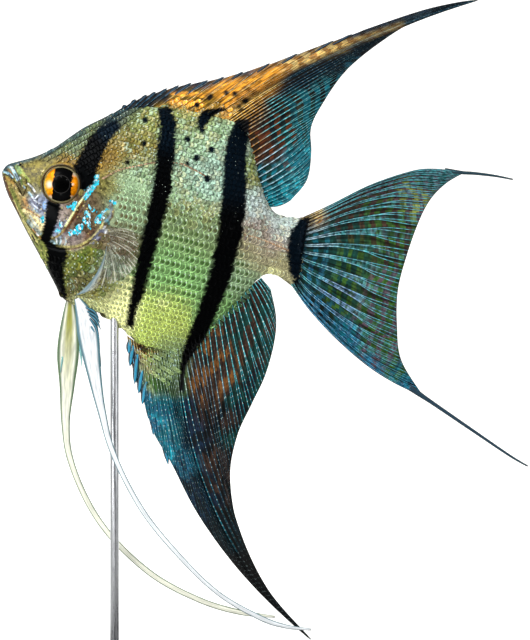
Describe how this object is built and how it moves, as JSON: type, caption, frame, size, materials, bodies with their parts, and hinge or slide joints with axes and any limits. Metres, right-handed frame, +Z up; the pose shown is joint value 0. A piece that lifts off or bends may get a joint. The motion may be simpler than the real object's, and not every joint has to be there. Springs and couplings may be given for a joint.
{
  "type": "freshwater angelfish",
  "caption": "Life-size still model of a barred freshwater angelfish with tall swept fins and long feelers, held by one thin rod on a flat rounded display base.",
  "frame": {"origin": "on the floor, below the middle of the outline, at the underside of the stand's base", "axes": "+Z up; the fish faces -X with its nose raised and lies in the XZ plane, so its left side looks along -Y"},
  "size_m": [0.1318, 0.064, 0.174],
  "materials": {
    "scaled_skin": "wet gloss over iridescent scales, silver, olive and yellow-green with black bars",
    "lip_skin": "smooth wet skin, blue-grey",
    "eye": "clear domed cornea over an orange and gold iris with a black pupil",
    "dorsal_fin": "thin membrane with bony rays, orange-gold in front, dark middle, teal rear",
    "anal_fin": "thin membrane with bony rays, bright blue spines, navy and rust to dark teal",
    "tail_fin": "thin membrane with branching rays, dark green with pale cyan streaks",
    "feeler": "pale translucent membrane with a yellow-green cast",
    "clear_fin": "clear membrane with fine pale rays",
    "stand_base": "satin black acrylic",
    "stand_steel": "fine ground stainless steel"
  },
  "bodies": {
    "root": {"head": "scaled_skin", "upper_jaw": "lip_skin", "lower_jaw": "lip_skin", "gill_cover_left": "scaled_skin", "gill_cover_right": "scaled_skin", "eye_left": "eye", "eye_right": "eye", "trunk": "scaled_skin", "tail_stalk": "scaled_skin", "dorsal_fin_spiny": "dorsal_fin", "dorsal_fin_soft": "dorsal_fin", "dorsal_streamer": "dorsal_fin", "anal_fin_spiny": "anal_fin", "anal_fin_soft": "anal_fin", "anal_streamer": "anal_fin", "tail_fin": "tail_fin", "tail_streamer_upper": "tail_fin", "tail_streamer_lower": "tail_fin", "pelvic_fin_left": "feeler", "pelvic_feeler_left": "feeler", "pelvic_fin_right": "feeler", "pelvic_feeler_right": "feeler", "pectoral_fin_left": "clear_fin", "pectoral_fin_right": "clear_fin", "stand_base": "stand_base", "stand_collar": "stand_steel", "stand_rod": "stand_steel"}
  },
  "joints": []
}
